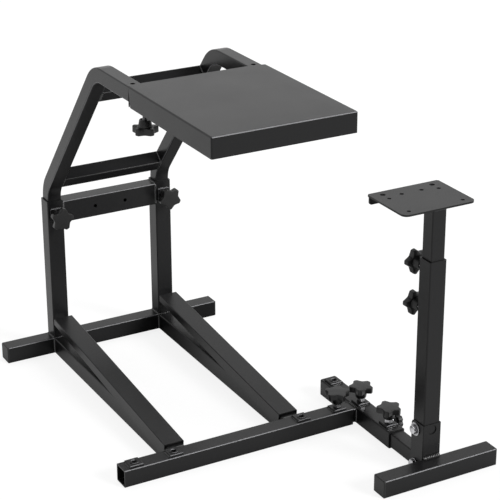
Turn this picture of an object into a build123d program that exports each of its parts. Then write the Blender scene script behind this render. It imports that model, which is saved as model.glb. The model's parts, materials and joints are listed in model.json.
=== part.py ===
from build123d import *
import os
from math import cos, radians, sin, tan

os.makedirs("parts", exist_ok=True)

# A free-standing stand for a steering wheel, pedals and a gear shifter, in millimetres.
# +X is the driver's right, +Y points away from the driver, +Z is up.
# The origin is on the floor, in the middle of the rear foot.

# Tube stock
TUBE = 30.0
WALL = 2.0
SLIDE_GAP = 0.5
CORNER = 2.2
INNER_CORNER = 2.0
BORE_CORNER = 0.3
INNER_TUBE = TUBE - 2 * WALL - 2 * SLIDE_GAP
CHAMFER = 45.0

# Plastic end caps
CAP_LIP = 3.0
CAP_PLUG = 12.0
CAP_GAP = 0.1
CAP_WALL = 2.0
CAP_ROUND = 1.2

# Base frame
FOOT_LENGTH = 420.0
POST_X = 105.0
POST_HEIGHT = 263.0
BEAM_HEIGHT = 40.0
BEAM_DROP = 3.0
BEAM_HOLE_SPACING = 58.0
BEAM_HOLE = 6.5
RAIL_LENGTH = 463.5
BAR_LENGTH = 418.0

# Clamping screws: a nut plate welded on the tube, and a star knob on a stud
PLATE_SIDE = 23.0
PLATE_THICK = 3.5
PLATE_EDGE = 0.8
STUD = 8.0
STUD_CLEARANCE = 0.3
TIP_GAP = 0.3
HUB_LIFT = 8.0
HUB_RADIUS = 9.0
HUB_FLARE = 8.0
HUB_HEIGHT = 11.0
STAR_LOBES = 5
STAR_RADIUS = 20.4
STAR_NOTCH_RADIUS = 15.0
STAR_TIP = 6.0
STAR_TIP_ROUND = 2.5
STAR_NOTCH_ROUND = 6.0
STAR_HEIGHT = 10.5
STAR_EDGE = 1.2
POST_KNOB_BELOW_TOP = 24.5
BAR_PLATE_FROM_END = 23.0
BAR_PLATE_SPACING = 69.0

# Small knob on the side of the shifter sleeve
SMALL_LIFT = 3.5
SMALL_HUB_RADIUS = 7.0
SMALL_HUB_HEIGHT = 5.0
SMALL_LOBES = 6
SMALL_RADIUS = 13.5
SMALL_NOTCH_RADIUS = 11.0
SMALL_TIP = 7.0
SMALL_TIP_ROUND = 2.5
SMALL_NOTCH_ROUND = 2.5
SMALL_HEIGHT = 8.5
SMALL_EDGE = 1.0

# How far round each knob is left, in degrees
KNOB_TURN = {
    "left_post_knob": 8.0,
    "right_post_knob": 47.0,
    "left_deck_knob": 11.0,
    "right_deck_knob": 40.0,
    "front_bar_knob": 57.0,
    "sleeve_middle_knob": 16.0,
    "sleeve_front_knob": 11.0,
    "sleeve_side_knob": 20.0,
    "upper_shifter_knob": 36.0,
    "lower_shifter_knob": 38.0,
}

# Wheel frame: two bent tubes joined by two braces
LEG_INSERT = 203.0
BEND_CLEARANCE = 1.0783
LEAN = 40.5
BEND_RADIUS = 54.0
ARM_HEIGHT = 587.5
MIDDLE_BRACE_ABOVE_BEND = 28.5
UPPER_BRACE_BELOW_ELBOW = 60.7
ARM_HOLE = 8.0
ARM_HOLE_BEHIND_DECK = 10.5

# Wheel deck: a folded tray on the arms
SHEET = 2.0
DECK_REST_GAP = 0.3
DECK_SIDE_GAP = 0.5
DECK_BACK_Y = -365.5
DECK_FRONT_Y = -642.0
DECK_DEPTH = 33.0
DECK_CORNER_X = 25.0
DECK_CORNER_Y = 5.0
DECK_BEND = 2.5
FLANGE_SLANT = 5.5
TAB_LENGTH = 32.0
TAB_FROM_BACK = 30.5
TAB_INSET = 4.0
DECK_BACK_TRAVEL = 60.0
TRAVEL_CLEARANCE = 5.0
DECK_KNOB_DROP = 14.5

# Pedal channels: folded sheet over the rails, on a pivot near the front bar
CHANNEL_GAP = 0.5
CHANNEL_TILT = 5.0
CHANNEL_FRONT = 10.0
CHANNEL_REAR = 437.0
CHANNEL_RISE = 14.0
CHANNEL_DEPTH_REAR = 12.0
CHANNEL_DEPTH_FRONT = 24.0
CHANNEL_BEND = 1.5
PIVOT_BACK = 19.0
PIVOT_Z = 19.0
PIVOT_PIN = 8.0
PIVOT_CLEARANCE = 0.08

# Shifter support: a T-shaped sleeve in the end of the front bar
STUB_SHOW = 7.6
STUB_INSERT = 165.0
SLEEVE_LENGTH = 209.0
REAR_PLATE_FROM_END = 20.0
MIDDLE_PLATE_AHEAD = 2.0
FRONT_PLATE_FROM_END = 17.5
SIDE_KNOB_FROM_FRONT = 34.0
SIDE_KNOB_Z = 21.5
BUSH_THICK = 6.5
BUSH_GAP = 0.3

# Shifter arm, foot and post
ARM_REACH = 66.5
ARM_INSERT = 142.0
MAST_TOP = 364.0
MAST_LIFT = 33.0
BRACKET_HEIGHT = 86.8
BRACKET_LIFT = 1.0
BRACKET_GAP = 0.1
BRACKET_SHEET = 1.5
BRACKET_BEND = 1.2
BRACKET_BACK = 1.0
BRACKET_ROUND = 7.0
BRACKET_HOLE = 16.0
BRACKET_HOLE_Z = 78.0
BOLT = 8.0
BOLT_CLEARANCE = 0.2
BOLT_BACK = 5.0
UPPER_BOLT_Z = 74.0
LOWER_BOLT_Z = 13.0
UPPER_WASHER_RADIUS = 11.0
LOWER_WASHER_RADIUS = 8.5
WASHER_THICK = 1.6
SPACER_RADIUS = 8.0
BOLT_HEAD = 13.0
BOLT_HEAD_HEIGHT = 5.3
SHIFTER_FOOT_LENGTH = 214.0
UPPER_MAST_KNOB_Z = 344.0
LOWER_MAST_KNOB_Z = 275.0
INNER_MAST_BOTTOM = 140.0
SHIFTER_PLATE_Z = 450.0
SHIFTER_PLATE_THICK = 3.0
SHIFTER_PLATE_WIDTH = 130.0
SHIFTER_PLATE_BACK = 89.5
SHIFTER_PLATE_FRONT = 14.5
SHIFTER_PLATE_ROUND = 10.0
SHIFTER_PLATE_CORNER = 4.5
SHIFTER_PLATE_BEND = 2.0
SHIFTER_FLANGE = 18.0
SHIFTER_FLANGE_ROUND = 4.0
# Holes in the shifter plate: half spacing across, distance in front of the back edge, diameter
SHIFTER_HOLES = [
    (45.0, 15.0, 9.0),
    (45.0, 33.0, 6.5),
    (18.0, 26.0, 7.0),
    (48.5, 91.0, 6.5),
]

# Places worked out from the sizes above
POST_TOP = TUBE + POST_HEIGHT
BAR_Y = -(TUBE / 2 + RAIL_LENGTH + TUBE / 2)
BAR_BACK_Y = BAR_Y + TUBE / 2
ARM_TOP = ARM_HEIGHT + INNER_TUBE / 2
ARM_BOTTOM = ARM_HEIGHT - INNER_TUBE / 2
BEND_Z = POST_TOP + BEND_CLEARANCE + BEND_RADIUS * tan(radians(LEAN / 2))
ELBOW_Y = -(ARM_HEIGHT - BEND_Z) * tan(radians(LEAN))
ARM_END_Y = DECK_FRONT_Y + SHEET + DECK_BACK_TRAVEL + TRAVEL_CLEARANCE
DECK_TOP = ARM_TOP + DECK_REST_GAP + SHEET
DECK_HALF = POST_X + INNER_TUBE / 2 + DECK_SIDE_GAP + SHEET
FLANGE_BOTTOM = DECK_TOP - DECK_DEPTH
TAB_Y = DECK_BACK_Y - TAB_FROM_BACK
ARM_HOLE_Y = DECK_BACK_Y + ARM_HOLE_BEHIND_DECK
SLEEVE_X = BAR_LENGTH / 2 + STUB_SHOW + TUBE / 2
SLEEVE_FRONT_Y = BAR_Y - SLEEVE_LENGTH / 2
MAST_Y = SLEEVE_FRONT_Y - BUSH_THICK - ARM_REACH - TUBE / 2
WEB_BACK_Y = MAST_Y - TUBE / 2 - BRACKET_GAP
WEB_FRONT_Y = WEB_BACK_Y - BRACKET_SHEET
BRACKET_REAR_Y = MAST_Y + TUBE / 2 + BRACKET_BACK
CHEEK_INSIDE = TUBE / 2 + BRACKET_GAP
CHEEK_OUTSIDE = CHEEK_INSIDE + BRACKET_SHEET
BOLT_Y = MAST_Y + BOLT_BACK
STUD_HOLE = STUD + 2 * STUD_CLEARANCE
SEAT = TUBE / 2 + PLATE_THICK
STUD_INSIDE = SEAT - INNER_TUBE / 2 - TIP_GAP


def tube_section(width, height, corner=CORNER):
    """Ring of a rectangular tube, in the sketch that is open."""
    RectangleRounded(width, height, corner)
    bore_corner = max(corner - WALL, BORE_CORNER)
    RectangleRounded(width - 2 * WALL, height - 2 * WALL, bore_corner, mode=Mode.SUBTRACT)


def along_x(x, y, z):
    """Plane whose sketch runs along +X, with the sketch's x on +Y and its y on +Z."""
    return Plane(origin=(x, y, z), x_dir=(0, 1, 0), z_dir=(1, 0, 0))


def toward_driver(x, y, z):
    """Plane whose sketch runs along -Y, with the sketch's x on +X and its y on +Z."""
    return Plane(origin=(x, y, z), x_dir=(1, 0, 0), z_dir=(0, -1, 0))


def save(solid, node):
    solid.label = node
    export_step(solid, f"parts/{node}.step")


def cap_shape(seat, side, corner):
    """End cap on the plane seat: a rounded lip outside and a hollow plug inside the tube."""
    inside = side - 2 * WALL - 2 * CAP_GAP
    with BuildSketch(seat, seat.offset(CAP_LIP - CAP_ROUND)) as lip_outline:
        RectangleRounded(side, side, corner)
    lip, rim = lip_outline.sketch.faces().sort_by(Axis(seat.origin, seat.z_dir))
    extrude(lip, amount=CAP_LIP - CAP_ROUND)
    extrude(rim, amount=CAP_ROUND, taper=CHAMFER)
    with BuildSketch(seat) as plug_outline:
        RectangleRounded(inside, inside, max(corner - WALL, BORE_CORNER))
        Rectangle(inside - 2 * CAP_WALL, inside - 2 * CAP_WALL, mode=Mode.SUBTRACT)
    extrude(plug_outline.sketch, amount=-CAP_PLUG)


def nut_plate(seat):
    """Square plate with a stud hole, standing on the plane seat."""
    with BuildSketch(seat, seat.offset(PLATE_THICK - PLATE_EDGE)) as outline:
        Rectangle(PLATE_SIDE, PLATE_SIDE)
    plate, rim = outline.sketch.faces().sort_by(Axis(seat.origin, seat.z_dir))
    extrude(plate, amount=PLATE_THICK - PLATE_EDGE)
    extrude(rim, amount=PLATE_EDGE, taper=CHAMFER)
    with BuildSketch(seat) as hole:
        Circle(STUD_HOLE / 2)
    extrude(hole.sketch, amount=PLATE_THICK, mode=Mode.SUBTRACT)


def stud_hole(wall):
    """Hole through one tube wall; the plane wall lies on its outer face."""
    with BuildSketch(wall) as hole:
        Circle(STUD_HOLE / 2)
    extrude(hole.sketch, amount=-WALL - SLIDE_GAP, mode=Mode.SUBTRACT)


def star_corners(lobes, radius, tip, notch, turn):
    """Corners of a star turned by that angle: both ends of each lobe's tip, then the notch beside it."""
    half_step = radians(180 / lobes)
    corners = []
    for lobe in range(lobes):
        along = radians(turn) + 2 * lobe * half_step
        for across in (-tip / 2, tip / 2):
            corners.append((
                radius * cos(along) - across * sin(along),
                radius * sin(along) + across * cos(along),
            ))
        corners.append((notch * cos(along + half_step), notch * sin(along + half_step)))
    return corners


def knob_shape(hub, hub_radius, hub_height, corners, rounds, height, edge):
    """Flared hub standing on the plane hub, with a star of those corners on it."""
    with BuildSketch(hub) as foot:
        Circle(hub_radius)
    extrude(foot.sketch, amount=hub_height, taper=-HUB_FLARE)
    with BuildSketch(hub.offset(hub_height)) as star:
        with BuildLine():
            FilletPolyline(corners, radius=rounds, close=True)
        make_face()
    head = extrude(star.sketch, amount=height)
    chamfer(head.faces().sort_by(Axis(hub.origin, hub.z_dir))[-1].edges(), edge)


def save_knob(node, hub, stud_length):
    """Star knob with its hub's foot on the plane hub and its stud running the other way."""
    corners = star_corners(STAR_LOBES, STAR_RADIUS, STAR_TIP, STAR_NOTCH_RADIUS, KNOB_TURN[node])
    rounds = [STAR_TIP_ROUND, STAR_TIP_ROUND, STAR_NOTCH_ROUND] * STAR_LOBES
    with BuildPart() as knob:
        with BuildSketch(hub):
            Circle(STUD / 2)
        extrude(amount=-stud_length)
        knob_shape(hub, HUB_RADIUS, HUB_HEIGHT, corners, rounds, STAR_HEIGHT, STAR_EDGE)
    save(knob.part, node)


# Rear foot on the floor, with a cap in each end
with BuildPart() as rear_foot:
    with BuildSketch(along_x(-FOOT_LENGTH / 2 + CAP_LIP, 0, TUBE / 2)):
        tube_section(TUBE, TUBE)
    extrude(amount=FOOT_LENGTH - 2 * CAP_LIP)
save(rear_foot.part, "rear_foot")

with BuildPart() as rear_foot_caps:
    for side in (-1, 1):
        end = (side * (FOOT_LENGTH / 2 - CAP_LIP), 0, TUBE / 2)
        cap_shape(Plane(origin=end, x_dir=(0, 1, 0), z_dir=(side, 0, 0)), TUBE, CORNER)
save(rear_foot_caps.part, "rear_foot_caps")

# Posts on the rear foot and rails from it to the front bar, one of each on either side
for side, word in ((-1, "left"), (1, "right")):
    with BuildPart() as post:
        with BuildSketch(Plane.XY.offset(TUBE).move(Location((side * POST_X, 0, 0)))):
            tube_section(TUBE, TUBE)
        extrude(amount=POST_HEIGHT)
        stud_hole(toward_driver(side * POST_X, -TUBE / 2, POST_TOP - POST_KNOB_BELOW_TOP))
    save(post.part, f"{word}_post")

    with BuildPart() as rail:
        with BuildSketch(toward_driver(side * POST_X, -TUBE / 2, TUBE / 2)):
            tube_section(TUBE, TUBE)
        extrude(amount=RAIL_LENGTH)
        with BuildSketch(along_x(side * POST_X - TUBE / 2, BAR_BACK_Y + PIVOT_BACK, PIVOT_Z)):
            Circle(PIVOT_PIN / 2 + PIVOT_CLEARANCE)
        extrude(amount=TUBE, mode=Mode.SUBTRACT)
    save(rail.part, f"{word}_rail")

with BuildPart() as post_plates:
    for side in (-1, 1):
        nut_plate(toward_driver(side * POST_X, -TUBE / 2, POST_TOP - POST_KNOB_BELOW_TOP))
save(post_plates.part, "post_nut_plates")

# Crossbeam between the tops of the posts
BEAM_LENGTH = 2 * POST_X - TUBE
BEAM_Z = POST_TOP - BEAM_DROP - BEAM_HEIGHT / 2
with BuildPart() as crossbeam:
    with BuildSketch(along_x(-BEAM_LENGTH / 2, 0, BEAM_Z)):
        tube_section(TUBE, BEAM_HEIGHT)
    extrude(amount=BEAM_LENGTH)
    with BuildSketch(toward_driver(0, TUBE / 2, BEAM_Z)):
        with GridLocations(BEAM_HOLE_SPACING, 0, 2, 1):
            Circle(BEAM_HOLE / 2)
    extrude(amount=TUBE, mode=Mode.SUBTRACT)
save(crossbeam.part, "crossbeam")

# Front bar: a socket at either end for the shifter support
BAR_KNOB_X = BAR_LENGTH / 2 - BAR_PLATE_FROM_END
BAR_PLATE_X = [-BAR_KNOB_X, BAR_PLATE_SPACING - BAR_KNOB_X, BAR_KNOB_X - BAR_PLATE_SPACING, BAR_KNOB_X]
with BuildPart() as front_bar:
    with BuildSketch(along_x(-BAR_LENGTH / 2, BAR_Y, TUBE / 2)):
        tube_section(TUBE, TUBE)
    extrude(amount=BAR_LENGTH)
    for x in BAR_PLATE_X:
        stud_hole(Plane.XY.offset(TUBE).move(Location((x, BAR_Y, 0))))
save(front_bar.part, "front_bar")

with BuildPart() as bar_plates:
    for x in BAR_PLATE_X:
        nut_plate(Plane.XY.offset(TUBE).move(Location((x, BAR_Y, 0))))
save(bar_plates.part, "front_bar_nut_plates")

# Pivot pins of the pedal channels, through the rails
CHANNEL_HALF = TUBE / 2 + CHANNEL_GAP + SHEET
with BuildPart() as pivot_pins:
    for side in (-1, 1):
        with BuildSketch(along_x(side * POST_X - CHANNEL_HALF, BAR_BACK_Y + PIVOT_BACK, PIVOT_Z)):
            Circle(PIVOT_PIN / 2)
        extrude(amount=2 * CHANNEL_HALF)
save(pivot_pins.part, "channel_pivot_pins")

# Pedal channels, drawn in the plane of their own slope with the pivot at its origin
CHANNEL_TOP = CHANNEL_RISE + SHEET
for side, word in ((-1, "left"), (1, "right")):
    slope = Plane(
        origin=(side * POST_X, BAR_BACK_Y + PIVOT_BACK, PIVOT_Z),
        x_dir=(0, cos(radians(CHANNEL_TILT)), sin(radians(CHANNEL_TILT))),
        z_dir=(1, 0, 0),
    )
    with BuildPart() as channel:
        with BuildSketch(slope):
            with BuildLine():
                Polyline(
                    (-CHANNEL_FRONT, CHANNEL_TOP),
                    (CHANNEL_REAR, CHANNEL_TOP),
                    (CHANNEL_REAR, CHANNEL_TOP - CHANNEL_DEPTH_REAR),
                    (-CHANNEL_FRONT, CHANNEL_TOP - CHANNEL_DEPTH_FRONT),
                    close=True,
                )
            make_face()
        extrude(amount=CHANNEL_HALF, both=True)
        top_face = channel.faces().sort_by(Axis(slope.origin, slope.y_dir))[-1]
        ridge = top_face.edges().filter_by(Axis(slope.origin, slope.x_dir))
        fillet(ridge, CHANNEL_BEND)
        with BuildSketch(slope):
            with Locations(((CHANNEL_REAR - CHANNEL_FRONT) / 2, CHANNEL_RISE - CHANNEL_DEPTH_FRONT)):
                Rectangle(2 * CHANNEL_REAR, 2 * CHANNEL_DEPTH_FRONT)
        extrude(amount=CHANNEL_HALF - SHEET, both=True, mode=Mode.SUBTRACT)
        with BuildSketch(slope):
            Circle(PIVOT_PIN / 2 + PIVOT_CLEARANCE)
        extrude(amount=CHANNEL_HALF, both=True, mode=Mode.SUBTRACT)
    save(channel.part, f"{word}_pedal_channel")

# Wheel frame: a tube on each side that slides in its post, leans over and ends in a level arm
for side, word in ((-1, "left"), (1, "right")):
    x = side * POST_X
    with BuildPart() as bent_tube:
        with BuildLine(Plane.YZ.offset(x)) as centre_line:
            FilletPolyline(
                (0, POST_TOP - LEG_INSERT),
                (0, BEND_Z),
                (ELBOW_Y, ARM_HEIGHT),
                (ARM_END_Y + CAP_LIP, ARM_HEIGHT),
                radius=BEND_RADIUS,
            )
        with BuildSketch(Plane.XY.offset(POST_TOP - LEG_INSERT).move(Location((x, 0, 0)))):
            tube_section(INNER_TUBE, INNER_TUBE, INNER_CORNER)
        sweep(path=centre_line.wires()[0])
        with BuildSketch(Plane.XY.offset(ARM_TOP).move(Location((x, ARM_HOLE_Y, 0)))):
            Circle(ARM_HOLE / 2)
        extrude(amount=-2 * WALL, mode=Mode.SUBTRACT)
    save(bent_tube.part, f"{word}_bent_tube")

with BuildPart() as arm_caps:
    for side in (-1, 1):
        cap_shape(toward_driver(side * POST_X, ARM_END_Y + CAP_LIP, ARM_HEIGHT), INNER_TUBE, INNER_CORNER)
save(arm_caps.part, "arm_end_caps")

# Braces across the leaning tubes, turned with the lean
BRACE_LENGTH = 2 * POST_X - INNER_TUBE
lean_direction = (0, -sin(radians(LEAN)), cos(radians(LEAN)))
upper_brace_above_bend = (ARM_HEIGHT - BEND_Z) / lean_direction[2] - UPPER_BRACE_BELOW_ELBOW
for word, along in (("middle", MIDDLE_BRACE_ABOVE_BEND), ("upper", upper_brace_above_bend)):
    centre = (-BRACE_LENGTH / 2, along * lean_direction[1], BEND_Z + along * lean_direction[2])
    with BuildPart() as brace:
        with BuildSketch(Plane(origin=centre, x_dir=lean_direction, z_dir=(1, 0, 0))):
            tube_section(INNER_TUBE, INNER_TUBE, INNER_CORNER)
        extrude(amount=BRACE_LENGTH)
    save(brace.part, f"{word}_brace")

# Wheel deck: top sheet, side and front flanges, and a clamp tab under each arm
TAB_WIDTH = SHEET + DECK_SIDE_GAP + INNER_TUBE - TAB_INSET
with BuildPart() as deck:
    with BuildSketch(Plane.XY.offset(DECK_TOP)):
        with BuildLine():
            Polyline(
                (-DECK_HALF, DECK_FRONT_Y),
                (DECK_HALF, DECK_FRONT_Y),
                (DECK_HALF, DECK_BACK_Y - DECK_CORNER_Y),
                (DECK_HALF - DECK_CORNER_X, DECK_BACK_Y),
                (-DECK_HALF + DECK_CORNER_X, DECK_BACK_Y),
                (-DECK_HALF, DECK_BACK_Y - DECK_CORNER_Y),
                close=True,
            )
        make_face()
    extrude(amount=-DECK_DEPTH)
    top_edges = deck.faces().sort_by(Axis.Z)[-1].edges()
    side_folds = top_edges.filter_by(Axis.Y)
    front_face = deck.faces().filter_by(Axis.Y).sort_by(Axis.Y)[0]
    front_folds = front_face.edges().sort_by(Axis.Z)[1:]
    fillet(side_folds + front_folds, DECK_BEND)
    with BuildSketch(Plane.XY.offset(DECK_TOP - SHEET)):
        with Locations((0, DECK_FRONT_Y + SHEET)):
            Rectangle(2 * (DECK_HALF - SHEET), -DECK_FRONT_Y, align=(Align.CENTER, Align.MIN))
    extrude(amount=-DECK_DEPTH, mode=Mode.SUBTRACT)
    with BuildSketch(along_x(-DECK_HALF, DECK_BACK_Y - DECK_CORNER_Y, FLANGE_BOTTOM)):
        with BuildLine():
            Polyline((0, 0), (-FLANGE_SLANT, 0), (0, DECK_DEPTH - DECK_BEND), close=True)
        make_face()
    extrude(amount=2 * DECK_HALF, mode=Mode.SUBTRACT)
    for side in (-1, 1):
        with BuildSketch(Plane.XY.offset(FLANGE_BOTTOM).move(Location((side * DECK_HALF, TAB_Y, 0)))):
            with Locations((-side * TAB_WIDTH / 2, 0)):
                Rectangle(TAB_WIDTH, TAB_LENGTH)
        extrude(amount=SHEET)
        with BuildSketch(Plane.XY.offset(FLANGE_BOTTOM).move(Location((side * POST_X, TAB_Y, 0)))):
            Circle(STUD_HOLE / 2)
        extrude(amount=SHEET, mode=Mode.SUBTRACT)
save(deck.part, "wheel_deck_plate")

# Shifter support: a stub in the front bar's right socket, with a sleeve across its end
SLEEVE_REAR_Y = BAR_Y + SLEEVE_LENGTH / 2
SLEEVE_PLATE_Y = [
    SLEEVE_REAR_Y - REAR_PLATE_FROM_END,
    BAR_Y - MIDDLE_PLATE_AHEAD,
    SLEEVE_FRONT_Y + FRONT_PLATE_FROM_END,
]
side_seat = along_x(SLEEVE_X + TUBE / 2, SLEEVE_FRONT_Y + SIDE_KNOB_FROM_FRONT, SIDE_KNOB_Z)

with BuildPart() as stub:
    with BuildSketch(along_x(SLEEVE_X - TUBE / 2, BAR_Y, TUBE / 2)):
        tube_section(INNER_TUBE, INNER_TUBE, INNER_CORNER)
    extrude(amount=-STUB_SHOW - STUB_INSERT)
save(stub.part, "shifter_stub")

with BuildPart() as sleeve:
    with BuildSketch(toward_driver(SLEEVE_X, SLEEVE_REAR_Y - CAP_LIP, TUBE / 2)):
        tube_section(TUBE, TUBE)
    extrude(amount=SLEEVE_LENGTH - CAP_LIP)
    for y in SLEEVE_PLATE_Y:
        stud_hole(Plane.XY.offset(TUBE).move(Location((SLEEVE_X, y, 0))))
    stud_hole(side_seat)
save(sleeve.part, "shifter_sleeve")

with BuildPart() as sleeve_cap:
    rear_end = (SLEEVE_X, SLEEVE_REAR_Y - CAP_LIP, TUBE / 2)
    cap_shape(Plane(origin=rear_end, x_dir=(1, 0, 0), z_dir=(0, 1, 0)), TUBE, CORNER)
save(sleeve_cap.part, "shifter_sleeve_cap")

with BuildPart() as sleeve_bush:
    bush_hole = INNER_TUBE + 2 * BUSH_GAP
    with BuildSketch(toward_driver(SLEEVE_X, SLEEVE_FRONT_Y, TUBE / 2)):
        RectangleRounded(TUBE, TUBE, CORNER)
        RectangleRounded(bush_hole, bush_hole, INNER_CORNER, mode=Mode.SUBTRACT)
    extrude(amount=BUSH_THICK)
save(sleeve_bush.part, "shifter_sleeve_bush")

with BuildPart() as sleeve_plates:
    for y in SLEEVE_PLATE_Y:
        nut_plate(Plane.XY.offset(TUBE).move(Location((SLEEVE_X, y, 0))))
save(sleeve_plates.part, "shifter_sleeve_nut_plates")

# Shifter arm out of the sleeve, to the bracket on the foot
with BuildPart() as shifter_arm:
    with BuildSketch(toward_driver(SLEEVE_X, SLEEVE_FRONT_Y + ARM_INSERT, TUBE / 2)):
        tube_section(INNER_TUBE, INNER_TUBE, INNER_CORNER)
    extrude(amount=ARM_INSERT + SLEEVE_FRONT_Y - WEB_BACK_Y)
    with BuildSketch(along_x(SLEEVE_X - TUBE / 2, BOLT_Y, LOWER_BOLT_Z)):
        Circle(BOLT / 2 + BOLT_CLEARANCE)
    extrude(amount=TUBE, mode=Mode.SUBTRACT)
save(shifter_arm.part, "shifter_arm_tube")

BRACKET_DEPTH = BRACKET_REAR_Y - WEB_FRONT_Y
with BuildPart() as bracket:
    with BuildSketch(Plane.XY.offset(BRACKET_LIFT)):
        with Locations((SLEEVE_X, WEB_FRONT_Y)):
            Rectangle(2 * CHEEK_OUTSIDE, BRACKET_DEPTH, align=(Align.CENTER, Align.MIN))
    extrude(amount=BRACKET_HEIGHT)
    fillet(bracket.edges().filter_by(Axis.Z).group_by(Axis.Y)[0], BRACKET_BEND)
    with BuildSketch(Plane.XY.offset(BRACKET_LIFT)):
        with Locations((SLEEVE_X, WEB_BACK_Y)):
            Rectangle(2 * CHEEK_INSIDE, BRACKET_DEPTH, align=(Align.CENTER, Align.MIN))
    extrude(amount=BRACKET_HEIGHT, mode=Mode.SUBTRACT)
    rear_corners = bracket.edges().filter_by(Axis.X).group_by(Axis.Y)[-1].group_by(Axis.Z)[-1]
    fillet(rear_corners, BRACKET_ROUND)
    for z in (LOWER_BOLT_Z, UPPER_BOLT_Z):
        with BuildSketch(along_x(SLEEVE_X - TUBE, BOLT_Y, z)):
            Circle(BOLT / 2 + BOLT_CLEARANCE)
        extrude(amount=2 * TUBE, mode=Mode.SUBTRACT)
    with BuildSketch(toward_driver(SLEEVE_X, WEB_BACK_Y, BRACKET_HOLE_Z)):
        Circle(BRACKET_HOLE / 2)
    extrude(amount=BRACKET_SHEET, mode=Mode.SUBTRACT)
save(bracket.part, "shifter_bracket")

# Spacers between the bracket's cheeks and the narrower arm
with BuildPart() as spacers:
    for side in (-1, 1):
        face = (SLEEVE_X + side * INNER_TUBE / 2, BOLT_Y, LOWER_BOLT_Z)
        with BuildSketch(Plane(origin=face, x_dir=(0, 1, 0), z_dir=(side, 0, 0))):
            Circle(SPACER_RADIUS)
            Circle(BOLT / 2 + BOLT_CLEARANCE, mode=Mode.SUBTRACT)
        extrude(amount=CHEEK_INSIDE - INNER_TUBE / 2)
save(spacers.part, "shifter_arm_spacers")

# Bolts through the bracket, with washer and hexagon at both ends
with BuildPart() as bolts:
    for z, washer in ((LOWER_BOLT_Z, LOWER_WASHER_RADIUS), (UPPER_BOLT_Z, UPPER_WASHER_RADIUS)):
        with BuildSketch(along_x(SLEEVE_X - CHEEK_OUTSIDE, BOLT_Y, z)):
            Circle(BOLT / 2)
        extrude(amount=2 * CHEEK_OUTSIDE)
        for side in (-1, 1):
            outside = Plane(
                origin=(SLEEVE_X + side * CHEEK_OUTSIDE, BOLT_Y, z), x_dir=(0, 1, 0), z_dir=(side, 0, 0)
            )
            with BuildSketch(outside):
                Circle(washer)
            extrude(amount=WASHER_THICK)
            with BuildSketch(outside.offset(WASHER_THICK)):
                RegularPolygon(BOLT_HEAD / 2, 6, major_radius=False)
            extrude(amount=BOLT_HEAD_HEIGHT)
save(bolts.part, "shifter_bracket_bolts")

FOOT_Y = WEB_FRONT_Y - TUBE / 2
with BuildPart() as shifter_foot:
    with BuildSketch(along_x(SLEEVE_X - SHIFTER_FOOT_LENGTH / 2 + CAP_LIP, FOOT_Y, TUBE / 2)):
        tube_section(TUBE, TUBE)
    extrude(amount=SHIFTER_FOOT_LENGTH - 2 * CAP_LIP)
save(shifter_foot.part, "shifter_foot")

with BuildPart() as shifter_foot_caps:
    for side in (-1, 1):
        end = (SLEEVE_X + side * (SHIFTER_FOOT_LENGTH / 2 - CAP_LIP), FOOT_Y, TUBE / 2)
        cap_shape(Plane(origin=end, x_dir=(0, 1, 0), z_dir=(side, 0, 0)), TUBE, CORNER)
save(shifter_foot_caps.part, "shifter_foot_caps")

# Outer post in the bracket, with two nut plates on the face away from the driver
MAST_KNOB_Z = [UPPER_MAST_KNOB_Z, LOWER_MAST_KNOB_Z]


def behind_mast(z):
    return Plane(origin=(SLEEVE_X, MAST_Y + TUBE / 2, z), x_dir=(1, 0, 0), z_dir=(0, 1, 0))


with BuildPart() as outer_mast:
    with BuildSketch(Plane.XY.offset(MAST_LIFT).move(Location((SLEEVE_X, MAST_Y, 0)))):
        tube_section(TUBE, TUBE)
    extrude(amount=MAST_TOP - MAST_LIFT)
    with BuildSketch(along_x(SLEEVE_X - TUBE, BOLT_Y, UPPER_BOLT_Z)):
        Circle(BOLT / 2 + BOLT_CLEARANCE)
    extrude(amount=2 * TUBE, mode=Mode.SUBTRACT)
    for z in MAST_KNOB_Z:
        stud_hole(behind_mast(z))
save(outer_mast.part, "shifter_outer_post")

with BuildPart() as mast_plates:
    for z in MAST_KNOB_Z:
        nut_plate(behind_mast(z))
save(mast_plates.part, "shifter_post_nut_plates")

# Inner post and the plate that the shifter stands on
PLATE_UNDER_Z = SHIFTER_PLATE_Z - SHIFTER_PLATE_THICK
with BuildPart() as inner_mast:
    with BuildSketch(Plane.XY.offset(INNER_MAST_BOTTOM).move(Location((SLEEVE_X, MAST_Y, 0)))):
        tube_section(INNER_TUBE, INNER_TUBE, INNER_CORNER)
    extrude(amount=PLATE_UNDER_Z - INNER_MAST_BOTTOM)
save(inner_mast.part, "shifter_inner_post")

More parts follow.
